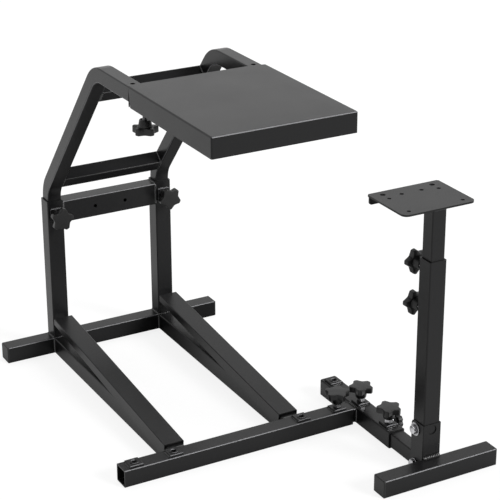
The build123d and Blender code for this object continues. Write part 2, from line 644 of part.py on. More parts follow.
PLATE_BACK_Y = MAST_Y + SHIFTER_PLATE_BACK
PLATE_LENGTH = SHIFTER_PLATE_BACK + SHIFTER_PLATE_FRONT
with BuildPart() as shifter_plate:
    with BuildSketch(Plane.XY.offset(PLATE_UNDER_Z).move(Location((SLEEVE_X, PLATE_BACK_Y, 0)))):
        Rectangle(SHIFTER_PLATE_WIDTH, PLATE_LENGTH, align=(Align.CENTER, Align.MAX))
    extrude(amount=SHIFTER_PLATE_THICK)
    upright = shifter_plate.edges().filter_by(Axis.Z).group_by(Axis.Y)
    fillet(upright[0], SHIFTER_PLATE_ROUND)
    chamfer(upright[-1], SHIFTER_PLATE_CORNER)
    with BuildSketch(Plane.XY.offset(SHIFTER_PLATE_Z).move(Location((SLEEVE_X, PLATE_BACK_Y, 0)))):
        flange_width = SHIFTER_PLATE_WIDTH - 2 * SHIFTER_PLATE_CORNER
        Rectangle(flange_width, SHIFTER_PLATE_THICK, align=(Align.CENTER, Align.MAX))
    extrude(amount=-SHIFTER_FLANGE)
    flange_corners = shifter_plate.edges().filter_by(Axis.Y).group_by(Axis.Z)[0]
    fillet(flange_corners, SHIFTER_FLANGE_ROUND)
    fold = shifter_plate.edges().filter_by(Axis.X).group_by(Axis.Y)[-1].group_by(Axis.Z)[-1]
    fillet(fold, SHIFTER_PLATE_BEND)
    for half, front, diameter in SHIFTER_HOLES:
        with BuildSketch(Plane.XY.offset(PLATE_UNDER_Z).move(Location((SLEEVE_X, PLATE_BACK_Y - front, 0)))):
            with GridLocations(2 * half, 0, 2, 1):
                Circle(diameter / 2)
        extrude(amount=SHIFTER_PLATE_THICK, mode=Mode.SUBTRACT)
save(shifter_plate.part, "shifter_plate")

# Star knobs: on the posts, under the deck, on the front bar, on the sleeve and behind the shifter post
HUB_SEAT = SEAT + HUB_LIFT
for side, word in ((-1, "left"), (1, "right")):
    post_hub = toward_driver(side * POST_X, -HUB_SEAT, POST_TOP - POST_KNOB_BELOW_TOP)
    save_knob(f"{word}_post_knob", post_hub, HUB_LIFT + STUD_INSIDE)
    deck_hub = Plane(
        origin=(side * POST_X, TAB_Y, FLANGE_BOTTOM - DECK_KNOB_DROP), x_dir=(1, 0, 0), z_dir=(0, 0, -1)
    )
    save_knob(f"{word}_deck_knob", deck_hub, ARM_BOTTOM - TIP_GAP - FLANGE_BOTTOM + DECK_KNOB_DROP)

TOP_HUB_Z = TUBE / 2 + HUB_SEAT
top_knobs = {
    "front_bar_knob": (BAR_KNOB_X, BAR_Y),
    "sleeve_middle_knob": (SLEEVE_X, SLEEVE_PLATE_Y[1]),
    "sleeve_front_knob": (SLEEVE_X, SLEEVE_PLATE_Y[2]),
}
for node, (x, y) in top_knobs.items():
    save_knob(node, Plane.XY.offset(TOP_HUB_Z).move(Location((x, y, 0))), HUB_LIFT + STUD_INSIDE)

for node, z in (("upper_shifter_knob", UPPER_MAST_KNOB_Z), ("lower_shifter_knob", LOWER_MAST_KNOB_Z)):
    save_knob(node, behind_mast(z).offset(PLATE_THICK + HUB_LIFT), HUB_LIFT + STUD_INSIDE)

# Small six-lobed knob on the right side of the sleeve, with no nut plate under it
small_hub = side_seat.offset(SMALL_LIFT)
small_turn = KNOB_TURN["sleeve_side_knob"]
small_corners = star_corners(SMALL_LOBES, SMALL_RADIUS, SMALL_TIP, SMALL_NOTCH_RADIUS, small_turn)
small_rounds = [SMALL_TIP_ROUND, SMALL_TIP_ROUND, SMALL_NOTCH_ROUND] * SMALL_LOBES
with BuildPart() as small_knob:
    with BuildSketch(small_hub):
        Circle(STUD / 2)
    extrude(amount=-SMALL_LIFT - STUD_INSIDE + PLATE_THICK)
    knob_shape(
        small_hub, SMALL_HUB_RADIUS, SMALL_HUB_HEIGHT, small_corners, small_rounds, SMALL_HEIGHT, SMALL_EDGE
    )
save(small_knob.part, "sleeve_side_knob")
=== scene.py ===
import json
import math
import random

import bmesh
import bpy
from mathutils import Matrix, Vector


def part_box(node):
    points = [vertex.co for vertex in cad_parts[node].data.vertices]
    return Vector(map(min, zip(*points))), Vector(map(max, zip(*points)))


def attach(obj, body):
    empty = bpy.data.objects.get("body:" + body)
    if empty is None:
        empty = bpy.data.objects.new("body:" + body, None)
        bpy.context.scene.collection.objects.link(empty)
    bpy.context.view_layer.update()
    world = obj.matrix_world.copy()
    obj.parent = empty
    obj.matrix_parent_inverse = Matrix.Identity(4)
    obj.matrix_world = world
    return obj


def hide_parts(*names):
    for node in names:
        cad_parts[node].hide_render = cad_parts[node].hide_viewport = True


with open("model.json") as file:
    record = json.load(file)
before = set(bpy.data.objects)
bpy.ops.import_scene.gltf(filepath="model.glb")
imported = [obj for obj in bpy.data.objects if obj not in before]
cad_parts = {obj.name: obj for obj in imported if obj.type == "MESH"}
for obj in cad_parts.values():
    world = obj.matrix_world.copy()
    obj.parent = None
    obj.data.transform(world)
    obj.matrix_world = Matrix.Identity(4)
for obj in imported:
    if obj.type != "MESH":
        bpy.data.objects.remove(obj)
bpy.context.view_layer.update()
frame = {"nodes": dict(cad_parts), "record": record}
BEHAVIOUR = frame["record"]["behaviour"]

# Camera, as fitted to the photograph; pixels are in its 500 by 500 frame
PHOTO_SIZE = 500
FOCAL_PX = 1683.5
PRINCIPAL_PX = (262.7, 237.6)
CAMERA_PLACE = (-1.1336, -2.5982, 1.3617)
CAMERA_AZIMUTH = -29.24
CAMERA_ELEVATION = 22.43
SENSOR_MM = 36.0
CAMERA_FAR = 100.0

# Light: the world, two far lamps and a wide floor; directions are the way that the light goes
SKY_LEVEL = 0.3
KEY_LEVEL = 2.2
KEY_DIRECTION = (-0.45, 0.73, -0.5)
KEY_ANGLE = 20.0
TOP_LEVEL = 1.0
TOP_DIRECTION = (-0.1, -0.4, -0.9)
TOP_ANGLE = 60.0
WHITE = (1, 1, 1, 1)
FLOOR_HALF = 14.0
FLOOR_DIFFUSE = 0.22
FLOOR_GLOW = 0.84
# The ceiling is seen dim, from the first of these heights on a unit sphere to the second
CEILING_RISE = (0.5, 0.68)
CEILING_LEVEL = 0.04
# Reflections show painted shade on the floor: dim close beside the object, and in a patch behind the leaning
# frame
FLOOR_SHADE_REACH = 0.25
PATCH_CENTRE = (0.3, 0.05, 0.0)
PATCH_REACH = (0.23, 0.35)
PATCH_LEVEL = 0.1

# Peel of a coat: where its noise runs from the dark tone to the pale one, and how its gloss varies
PEEL_RANGE = (0.3, 0.7)
PEEL_TONES = (0.75, 1.25)
PEEL_DETAIL = 3.0
PEEL_ROUGHNESS = 0.6
PEEL_DEPTH = 0.0003
GLOSS_SCALE = 14.0
GLOSS_DETAIL = 4.0
GLOSS_SPREAD = 0.05
# A coat is paler on some of its rounded edges, as a painted highlight: a product of parts of the surface's
# direction, and its range there
EDGE_HIGHLIGHT_LIFT = 20.0
TOP_HIGHLIGHT_EDGES = ("YZ", (-0.3, -0.42))
SIDE_HIGHLIGHT_EDGES = ("XXZ", (-0.08, -0.25))
POWDER = dict(color=(0.012, 0.012, 0.0125), roughness=0.31, grain=900.0, bump=0.25, specular=0.215)
# powder_coat and its copy for the leaning frame carry painted highlights on differently facing edges
COATS = {
    "powder_coat": dict(POWDER, edges=TOP_HIGHLIGHT_EDGES),
    "bent_coat_painted_highlights": dict(POWDER, edges=SIDE_HIGHLIGHT_EDGES),
    "weld_coat": dict(POWDER, roughness=0.26, specular=0.8),
    "black_plastic": dict(color=(0.012, 0.012, 0.012), roughness=0.5, grain=1600.0, bump=0.3, specular=0.35),
    "knob_plastic": dict(color=(0.005, 0.005, 0.005), roughness=0.42, grain=1300.0, bump=0.35, specular=0.4),
}
# Zinc-plated steel, with painted shade darkening its crevices
ZINC_SCALE = 260.0
ZINC_DETAIL = 5.0
ZINC_TONES = ((0.44, 0.44, 0.46, 1), (0.74, 0.74, 0.75, 1))
ZINC_ROUGHNESS = (0.18, 0.4)
CREVICE_SHADE_REACH = 0.01
CREVICE_SHADE_POWER = 1.8

# Nodes that don't have the plain finish of their slot: the leaning frame, whose copy of the coat has its
# painted highlights on other edges, and the pins that are painted over
FINISH = {
    "left_bent_tube": "bent_coat_painted_highlights",
    "right_bent_tube": "bent_coat_painted_highlights",
    "middle_brace": "bent_coat_painted_highlights",
    "upper_brace": "bent_coat_painted_highlights",
    "channel_pivot_pins": "powder_coat",
}

# Sizes are in metres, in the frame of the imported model
# Five-lobed knob: its hub's foot, the flare of the hub and the star
STAR = {
    "lobes": 5,
    "radius": 0.0204,
    "tip": 0.006,
    "tip_round": 0.0025,
    "notch": 0.015,
    "notch_round": 0.006,
    "height": 0.0105,
    "edge": 0.0014,
    "hub_foot": 0.009,
    "hub_top": 0.0108,
    "hub_height": 0.011,
    "under_notch": 0.0125,
    "nut_height": 0.0065,
}
# Six-lobed knob on the side of the sleeve
SMALL_STAR = {
    "lobes": 6,
    "radius": 0.0135,
    "tip": 0.007,
    "tip_round": 0.0025,
    "notch": 0.011,
    "notch_round": 0.0025,
    "height": 0.0085,
    "edge": 0.0012,
    "hub_foot": 0.007,
    "hub_top": 0.0078,
    "hub_height": 0.005,
    "under_notch": 0.0105,
    "nut_height": 0.003,
}
ARC_STEPS = 5
# Foot of a knob's hub, and the lower edge of its star
FOOT_EDGE = 0.0006
FOOT_RECESS = 0.0012
FOOT_RIM = 0.0022
UNDER_EDGE = 0.0008
UNDER_ROUND = 0.3

# How far round each knob is left, in degrees
KNOB_TURN = {
    "left_post_knob": 8.0,
    "right_post_knob": 47.0,
    "left_deck_knob": 11.0,
    "right_deck_knob": 40.0,
    "front_bar_knob": 57.0,
    "sleeve_middle_knob": 16.0,
    "sleeve_front_knob": 11.0,
    "sleeve_side_knob": 20.0,
    "upper_shifter_knob": 36.0,
    "lower_shifter_knob": 38.0,
}
KNOBS_WITHOUT_NUT = ("left_deck_knob", "right_deck_knob")
SMALL_KNOBS = ("sleeve_side_knob",)

# Threads, nuts and bolts
STUD_RADIUS = 0.004
PITCH = 0.00125
THREAD_DEPTH = 0.0007
THREAD_ROWS = 8
THREAD_SIDES = 28
THREAD_LEAST_ROWS = 2
STUD_SEAT = 2 * FOOT_RECESS
NUT_ACROSS = 0.013
NUT_GAP = 0.0002
HEX_SIDES = 6
HEX_STEPS = 6
HEX_SLOPE = math.tan(math.radians(30))
HEX_FACE = 0.97
UPPER_WASHER_RADIUS = 0.011
LOWER_WASHER_RADIUS = 0.0085
WASHER_THICK = 0.0016
WASHER_EDGE = 0.0003
BOLT_HEAD_HEIGHT = 0.0053
BOLT_NUT_HEIGHT = 0.0045
BOLT_END = 0.0008
ROUND_SIDES = 48

# Collar round the hole of a nut plate that no knob is in
COLLAR_RADIUS = 0.0075
COLLAR_HEIGHT = 0.001
COLLAR_EDGE = 0.0004
PLATE_HOLE = 0.0043
PLATE_HOLE_MOUTH = 0.0052

# Weld beads
BEAD_PITCH = 0.0017
BEAD_ROWS = 6
BEAD_LEAST_ROWS = 8
BEAD_SPARE_SWELLS = 3
BEAD_SIDES = 12
BEAD_SPACING = 0.8
BEAD_RIPPLE = 0.26
BEAD_RIPPLE_MIDDLE = 0.5
BEAD_BOW = 0.4
BEAD_TAPER = 0.003
BEAD_END = 0.12
BEAD_SWELL = (0.85, 1.15)
BEAD_STRETCH = (0.9, 1.1)
FILLET_WIDTH = 0.6
FILLET_RISE = 0.45
GROOVE_SINK = 0.35
GROOVE_WIDTH = 1.2
GROOVE_RISE = 0.58
FILLET_BEAD = 0.0024
GROOVE_BEAD = 0.0019
PLATE_BEAD = 0.0015
WEB_BEAD = 0.0052
TUBE_CORNER = 0.0022
WEB_SINK = TUBE_CORNER / 3
WEB_LIFT = WEB_BEAD / 5

# Meshes: the least angle of a sharp edge, and the distance at which points are one
SHARP_ANGLE = 35.0
MERGE = 1e-5


def add_node(tree, kind, **settings):
    """New shader node of that kind, with its sockets or properties set."""
    node = tree.nodes.new(kind)
    for name, value in settings.items():
        if name in node.inputs:
            node.inputs[name].default_value = value
        else:
            setattr(node, name, value)
    return node


def add_math(tree, operation, *values):
    """Result of an operation on sockets or plain numbers."""
    node = add_node(tree, "ShaderNodeMath", operation=operation)
    for value, socket in zip(values, node.inputs):
        if isinstance(value, float):
            socket.default_value = value
        else:
            tree.links.new(value, socket)
    return node.outputs[0]


def add_range(tree, value, before, after, easing="LINEAR"):
    """Value that runs over the range after while the given one runs over the range before."""
    node = add_node(tree, "ShaderNodeMapRange", interpolation_type=easing)
    for name, number in zip(("From Min", "From Max", "To Min", "To Max"), before + after):
        node.inputs[name].default_value = number
    tree.links.new(value, node.inputs["Value"])
    return node.outputs["Result"]


def add_scale(tree, color, factor):
    """Colour times a factor."""
    node = add_node(tree, "ShaderNodeVectorMath", operation="SCALE")
    tree.links.new(color, node.inputs[0])
    tree.links.new(factor, node.inputs["Scale"])
    return node.outputs[0]


def add_split(tree, vector):
    """The three parts of a vector, by the names of their axes."""
    node = add_node(tree, "ShaderNodeSeparateXYZ")
    tree.links.new(vector, node.inputs[0])
    return node.outputs


def add_noise(tree, **settings):
    """Noise in the object's own coordinates."""
    where = add_node(tree, "ShaderNodeTexCoord")
    noise = add_node(tree, "ShaderNodeTexNoise", **settings)
    tree.links.new(where.outputs["Object"], noise.inputs["Vector"])
    return noise.outputs["Fac"]


def add_tones(tree, value, places, tones):
    """Colour that runs between two tones while the value runs between two places."""
    node = add_node(tree, "ShaderNodeValToRGB")
    for stop, place, tone in zip(node.color_ramp.elements, places, tones):
        stop.position = place
        stop.color = tone
    tree.links.new(value, node.inputs["Fac"])
    return node.outputs["Color"]


def new_material(name):
    """Material with nodes, and its node tree."""
    material = bpy.data.materials.new(name)
    material.use_nodes = True
    return material, material.node_tree


def seen_directly(tree):
    """Socket that is 1 for camera, glossy and transmission rays and 0 for the rest."""
    path = add_node(tree, "ShaderNodeLightPath").outputs
    seen = add_math(tree, "MAXIMUM", path["Is Camera Ray"], path["Is Glossy Ray"])
    return add_math(tree, "MAXIMUM", seen, path["Is Transmission Ray"])


def make_world():
    """White where it is seen, with a dim ceiling overhead, and a plain level of light where it lights."""
    world = bpy.data.worlds.new("studio")
    world.use_nodes = True
    tree = world.node_tree
    tree.nodes.clear()
    out = add_node(tree, "ShaderNodeOutputWorld")
    mix = add_node(tree, "ShaderNodeMixShader")
    light = add_node(tree, "ShaderNodeBackground", Color=WHITE, Strength=SKY_LEVEL)
    white = add_node(tree, "ShaderNodeBackground", Strength=1.0)
    where = add_node(tree, "ShaderNodeTexCoord")
    height = add_split(tree, where.outputs["Generated"])["Z"]
    ceiling = add_range(tree, height, CEILING_RISE, (1.0, CEILING_LEVEL), "SMOOTHSTEP")
    tree.links.new(ceiling, white.inputs["Color"])
    tree.links.new(seen_directly(tree), mix.inputs[0])
    tree.links.new(light.outputs[0], mix.inputs[1])
    tree.links.new(white.outputs[0], mix.inputs[2])
    tree.links.new(mix.outputs[0], out.inputs["Surface"])
    bpy.context.scene.world = world


def mirrored_shade(tree):
    """Socket for painted shade on the floor as reflections see it: below 1 close beside the object and in
    the dim patch, and 1 for the rest."""
    path = add_node(tree, "ShaderNodeLightPath")
    open_sky = add_node(tree, "ShaderNodeAmbientOcclusion", Distance=FLOOR_SHADE_REACH)
    where = add_node(tree, "ShaderNodeNewGeometry")
    away = add_node(tree, "ShaderNodeVectorMath", operation="DISTANCE")
    away.inputs[1].default_value = PATCH_CENTRE
    tree.links.new(where.outputs["Position"], away.inputs[0])
    patch = add_range(tree, away.outputs["Value"], PATCH_REACH, (PATCH_LEVEL, 1.0), "SMOOTHSTEP")
    shade = add_math(tree, "MULTIPLY", open_sky.outputs["AO"], patch)
    lost = add_math(tree, "SUBTRACT", 1.0, shade)
    mirrored = add_math(tree, "MULTIPLY", lost, path.outputs["Is Glossy Ray"])
    return add_math(tree, "SUBTRACT", 1.0, mirrored)


def make_floor():
    """Wide pale floor that keeps the object's shadow."""
    material, tree = new_material("floor_white")
    tree.nodes.clear()
    out = add_node(tree, "ShaderNodeOutputMaterial")
    add = add_node(tree, "ShaderNodeAddShader")
    matte = add_node(tree, "ShaderNodeBsdfDiffuse", Color=(FLOOR_DIFFUSE, FLOOR_DIFFUSE, FLOOR_DIFFUSE, 1))
    glow = add_node(tree, "ShaderNodeEmission", Color=WHITE)
    level = add_math(tree, "MULTIPLY", seen_directly(tree), FLOOR_GLOW)
    # In reflections the glow is dimmed by painted shade
    kept = add_math(tree, "MULTIPLY", level, mirrored_shade(tree))
    tree.links.new(kept, glow.inputs["Strength"])
    tree.links.new(matte.outputs[0], add.inputs[0])
    tree.links.new(glow.outputs[0], add.inputs[1])
    tree.links.new(add.outputs[0], out.inputs["Surface"])
    bpy.ops.mesh.primitive_plane_add(size=2 * FLOOR_HALF, location=(0, 0, 0))
    floor = bpy.context.object
    floor.name = "floor"
    floor.data.materials.append(material)


def make_light(name, level, direction, angle):
    """Far lamp that shines along that direction, as wide as that angle."""
    lamp = bpy.data.lights.new(name, "SUN")
    lamp.energy = level
    lamp.angle = math.radians(angle)
    light = bpy.data.objects.new(name, lamp)
    light.rotation_mode = "QUATERNION"
    light.rotation_quaternion = Vector(direction).to_track_quat("-Z", "Y")
    bpy.context.scene.collection.objects.link(light)


def make_camera():
    """Camera at the photograph's place, with its lens and the shift of its frame."""
    data = bpy.data.cameras.new("camera")
    data.sensor_fit = "HORIZONTAL"
    data.sensor_width = SENSOR_MM
    data.lens = SENSOR_MM * FOCAL_PX / PHOTO_SIZE
    data.shift_x = (PHOTO_SIZE / 2 - PRINCIPAL_PX[0]) / PHOTO_SIZE
    data.shift_y = (PRINCIPAL_PX[1] - PHOTO_SIZE / 2) / PHOTO_SIZE
    data.clip_end = CAMERA_FAR
    camera = bpy.data.objects.new("camera", data)
    turn = math.radians(CAMERA_AZIMUTH)
    rise = math.radians(CAMERA_ELEVATION)
    back = Vector((
        math.sin(turn) * math.cos(rise),
        -math.cos(turn) * math.cos(rise),
        math.sin(rise),
    ))
    camera.location = CAMERA_PLACE
    camera.rotation_mode = "QUATERNION"
    camera.rotation_quaternion = (-back).to_track_quat("-Z", "Y")
    bpy.context.scene.collection.objects.link(camera)
    bpy.context.scene.camera = camera


def paint_edge_highlights(tree, color, axes, highlight_range):
    """Colour of a coat with painted highlights on rounded edges, so paler there. The edges are where the
    product of these parts of the surface's direction falls through that range."""
    facing = add_node(tree, "ShaderNodeNewGeometry")
    parts = add_split(tree, facing.outputs["Normal"])
    product = parts[axes[0]]
    for axis in axes[1:]:
        product = add_math(tree, "MULTIPLY", product, parts[axis])
    return add_scale(tree, color, add_range(tree, product, highlight_range, (1.0, EDGE_HIGHLIGHT_LIFT), "SMOOTHSTEP"))


def make_coat(name, color, roughness, grain, bump, specular, edges=None):
    """Satin coat: a dark base with a fine peel in its colour, gloss and bump, and painted highlights on the
    given edges.
    """
    material, tree = new_material(name)
    shader = tree.nodes["Principled BSDF"]
    shader.inputs["Specular IOR Level"].default_value = specular
    peel = add_noise(tree, Scale=grain, Detail=PEEL_DETAIL, Roughness=PEEL_ROUGHNESS)
    tones = [tuple(share * part for part in color) + (1,) for share in PEEL_TONES]
    base = add_tones(tree, peel, PEEL_RANGE, tones)
    # Painted highlights: paler colour on the rounded edges that the coat names
    if edges:
        base = paint_edge_highlights(tree, base, *edges)
    tree.links.new(base, shader.inputs["Base Color"])
    patches = add_noise(tree, Scale=GLOSS_SCALE, Detail=GLOSS_DETAIL)
    gloss = add_range(tree, patches, (0.0, 1.0), (roughness - GLOSS_SPREAD, roughness + GLOSS_SPREAD))
    tree.links.new(gloss, shader.inputs["Roughness"])
    relief = add_node(tree, "ShaderNodeBump", Strength=bump, Distance=PEEL_DEPTH)
    tree.links.new(peel, relief.inputs["Height"])
    tree.links.new(relief.outputs["Normal"], shader.inputs["Normal"])
    return material


def make_zinc():
    """Bare metal with a bloom in its colour and gloss, and painted shade from ambient occlusion in its
    crevices.
    """
    material, tree = new_material("zinc_steel")
    shader = tree.nodes["Principled BSDF"]
    shader.inputs["Metallic"].default_value = 1.0
    bloom = add_noise(tree, Scale=ZINC_SCALE, Detail=ZINC_DETAIL)
    tone = add_tones(tree, bloom, (0.0, 1.0), ZINC_TONES)
    # Painted shade: the colour darkens where other surfaces are close
    crevice = add_node(tree, "ShaderNodeAmbientOcclusion", Distance=CREVICE_SHADE_REACH)
    shade = add_math(tree, "POWER", crevice.outputs["AO"], CREVICE_SHADE_POWER)
    tree.links.new(add_scale(tree, tone, shade), shader.inputs["Base Color"])
    gloss = add_range(tree, bloom, (0.0, 1.0), ZINC_ROUGHNESS)
    tree.links.new(gloss, shader.inputs["Roughness"])
    return material


MATERIALS = {name: make_coat(name, **coat) for name, coat in COATS.items()}
MATERIALS["zinc_steel"] = make_zinc()


def dress_frame():
    """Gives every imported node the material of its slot, or the finish of its own."""
    slots = {part["node"]: part["material_slot"] for part in frame["record"]["subparts"]}
    for node, part in frame["nodes"].items():
        part.data.materials.clear()
        part.data.materials.append(MATERIALS[FINISH.get(node, slots[node])])


def standing(point, up, along):
    """Frame at that point whose z axis is up and whose x axis is along."""
    up = Vector(up).normalized()
    along = Vector(along)
    along = (along - along.dot(up) * up).normalized()
    across = up.cross(along)
    turn = Matrix((along, across, up)).transposed().to_4x4()
    return Matrix.Translation(point) @ turn


def loft(mesh, rings, place):
    """Closed skin through rings that all have as many points, given in the frame place."""
    rows = [[mesh.verts.new(place @ Vector(point)) for point in ring] for ring in rings]
    count = len(rows[0])
    for low, high in zip(rows, rows[1:]):
        for i in range(count):
            j = (i + 1) % count
            mesh.faces.new((low[i], low[j], high[j], high[i]))
    mesh.faces.new(list(reversed(rows[0])))
    mesh.faces.new(rows[-1])


def circle(radius, height, angles):
    """Ring of that radius at that height, with a point at each angle."""
    return [(radius * math.cos(a), radius * math.sin(a), height) for a in angles]


def even_angles(sides):
    """Angles of that many points, spread evenly round."""
    return [2 * math.pi * i / sides for i in range(sides)]


def turned(mesh, profile, place, sides=ROUND_SIDES):
    """Solid of revolution about the z axis of place; the profile is pairs of radius and height."""
    angles = even_angles(sides)
    loft(mesh, [circle(radius, height, angles) for radius, height in profile], place)


def turned_ring(mesh, profile, place, sides=ROUND_SIDES):
    """Ring about the z axis of place; the profile is a closed loop of pairs of radius and height."""
    angles = even_angles(sides)
    rows = []
    for radius, height in profile:
        rows.append([mesh.verts.new(place @ Vector(point)) for point in circle(radius, height, angles)])
    for low, high in zip(rows, rows[1:] + rows[:1]):
        for i in range(sides):
            j = (i + 1) % sides
            mesh.faces.new((low[i], low[j], high[j], high[i]))


def make_piece(name, mesh, body, slot, finish=None):
    """Object from a mesh, riding on a body, with the finish of that slot unless it has one of its own."""
    mesh.normal_update()
    data = bpy.data.meshes.new(name)
    mesh.to_mesh(data)
    mesh.free()
    data.shade_smooth()
    data.set_sharp_from_angle(angle=math.radians(SHARP_ANGLE))
    data.materials.append(MATERIALS[finish or slot])
    piece = bpy.data.objects.new(name, data)
    bpy.context.scene.collection.objects.link(piece)
    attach(piece, body)
    return piece


def rounded_outline(corners, rounds):
    """Outline with each corner replaced by an arc of its radius."""
    points = []
    for i, corner in enumerate(corners):
        corner = Vector(corner)
        before = (Vector(corners[i - 1]) - corner).normalized()
        after = (Vector(corners[(i + 1) % len(corners)]) - corner).normalized()
        half = before.angle(after) / 2
        middle = (before + after).normalized()
        centre = corner + middle * rounds[i] / math.sin(half)
        first = corner + before * rounds[i] / math.tan(half) - centre
        last = corner + after * rounds[i] / math.tan(half) - centre
        sweep = first.angle_signed(last)
        for step in range(ARC_STEPS + 1):
            points.append(centre + Matrix.Rotation(-sweep * step / ARC_STEPS, 2) @ first)
    return points


def star_outline(star, turn, notch):
    """Rounded outline of a knob's star, turned by that angle, with its notches at that radius."""
    half_step = math.pi / star["lobes"]
    corners = []
    for lobe in range(star["lobes"]):
        along = math.radians(turn) + 2 * lobe * half_step
        for across in (-star["tip"] / 2, star["tip"] / 2):
            corners.append((
                star["radius"] * math.cos(along) - across * math.sin(along),
                star["radius"] * math.sin(along) + across * math.cos(along),
            ))
        beside = along + half_step
        corners.append((notch * math.cos(beside), notch * math.sin(beside)))
    rounds = [star["tip_round"], star["tip_round"], star["notch_round"]]
    return rounded_outline(corners, rounds * star["lobes"])


def inset(outline, amount, height):
    """Ring at that height, the outline moved inwards by amount."""
    ring = []
    for i, point in enumerate(outline):
        ahead = (outline[(i + 1) % len(outline)] - outline[i - 1]).normalized()
        inward = Vector((-ahead.y, ahead.x))
        moved = point + amount * inward
        ring.append((moved.x, moved.y, height))
    return ring


def grip_rings(star, turn):
    """Hub and star of a knob, from the recess in the hub's foot to the flat top. Its flutes are deeper
    below."""
    outline = star_outline(star, turn, star["notch"])
    fluted = star_outline(star, turn, star["under_notch"])
    angles = [math.atan2(point.y, point.x) for point in fluted]
    foot = star["hub_foot"]
    under = star["hub_height"]
    top = under + star["height"]
    edge = star["edge"]
    rings = [
        circle(foot - FOOT_RIM - FOOT_EDGE, FOOT_RECESS, angles),
        circle(foot - FOOT_RIM, 0, angles),
        circle(foot - FOOT_EDGE, 0, angles),
        circle(foot, FOOT_EDGE, angles),
        circle(star["hub_top"], under - UNDER_EDGE, angles),
        circle(star["hub_top"] + UNDER_EDGE / 2, under, angles),
        inset(fluted, UNDER_EDGE, under),
        inset(fluted, UNDER_ROUND * UNDER_EDGE, under + UNDER_ROUND * UNDER_EDGE),
        inset(fluted, 0, under + UNDER_EDGE),
    ]
    for step in range(ARC_STEPS + 1):
        lean = math.pi / 2 * step / ARC_STEPS
        rings.append(inset(outline, edge * (1 - math.cos(lean)), top - edge * (1 - math.sin(lean))))
    return rings


def thread_rings(start, end):
    """Threaded rod from start to end along z, with chamfered ends."""
    rows = max(THREAD_LEAST_ROWS, round((end - start) / PITCH * THREAD_ROWS))
    rings = []
    for row in range(rows + 1):
        height = start + (end - start) * row / rows
        blunt = max(0, THREAD_DEPTH - min(height - start, end - height))
        ring = []
        for i, angle in enumerate(even_angles(THREAD_SIDES)):
            phase = (height / PITCH - i / THREAD_SIDES) % 1
            cut = THREAD_DEPTH * abs(2 * phase - 1)
            radius = STUD_RADIUS - max(cut, blunt)
            ring.append((radius * math.cos(angle), radius * math.sin(angle), height))
        rings.append(ring)
    return rings


def hex_rings(across, low, high, chamfer_low):
    """Hexagon from low to high, its corners cut by a cone at the top and, if asked, at the bottom."""
    flat = across / 2
    corner = flat / math.cos(math.pi / HEX_SIDES)
    outline = []
    for side in range(HEX_SIDES):
        first = Vector((corner, 0)).to_3d()
        first.rotate(Matrix.Rotation(2 * side * math.pi / HEX_SIDES, 3, "Z"))
        second = first.copy()
        second.rotate(Matrix.Rotation(2 * math.pi / HEX_SIDES, 3, "Z"))
        outline += [first.lerp(second, step / HEX_STEPS) for step in range(HEX_STEPS)]
    angles = [math.atan2(point.y, point.x) for point in outline]
    fall = [(point.length - HEX_FACE * flat) * HEX_SLOPE for point in outline]
    lift = fall if chamfer_low else [0] * len(outline)
    rings = []
    if chamfer_low:
        rings.append(circle(HEX_FACE * flat, low, angles))
    rings.append([(point.x, point.y, low + up) for point, up in zip(outline, lift)])
    rings.append([(point.x, point.y, high - down) for point, down in zip(outline, fall)])
    rings.append(circle(HEX_FACE * flat, high, angles))
    return rings


def knob_hinge(node):
    """Point and direction of the hinge that a knob turns on."""
    for joint in BEHAVIOUR["joints"]:
        if joint["child"] == f"{node}_body":
            return Vector(joint["pos_m"]), Vector(joint["axis"])
    raise KeyError(node)


def add_knob(node):
    """Moulded star, threaded stud and lock nut in the place of a knob's solid."""
    star = SMALL_STAR if node in SMALL_KNOBS else STAR
    point, axis = knob_hinge(node)
    low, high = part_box(node)
    ends = sorted(((low - point).dot(axis), (high - point).dot(axis)))
    foot = ends[1] - star["height"] - star["hub_height"]
    along = (0, 1, 0) if abs(axis.x) > abs(axis.y) + abs(axis.z) else (1, 0, 0)
    place = standing(point + foot * axis, axis, along)
    body = f"{node}_body"

    mesh = bmesh.new()
    loft(mesh, grip_rings(star, KNOB_TURN[node]), place)
    grip = make_piece(f"{node}_grip", mesh, body, "knob_plastic")
    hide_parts(node)

    mesh = bmesh.new()
    loft(mesh, thread_rings(ends[0] - foot, STUD_SEAT), place)
    make_piece(f"{node}_stud", mesh, body, "zinc_steel")

    if node not in KNOBS_WITHOUT_NUT:
        mesh = bmesh.new()
        nut_foot = -NUT_GAP - star["nut_height"]
        loft(mesh, hex_rings(NUT_ACROSS, nut_foot, -NUT_GAP, True), place)
        make_piece(f"{node}_nut", mesh, body, "zinc_steel")


def washer_profile(radius):
    """Flat washer with eased edges, as pairs of radius and height."""
    return [
        (radius - WASHER_EDGE, 0),
        (radius, WASHER_EDGE),
        (radius, WASHER_THICK - WASHER_EDGE),
        (radius - WASHER_EDGE, WASHER_THICK),
    ]


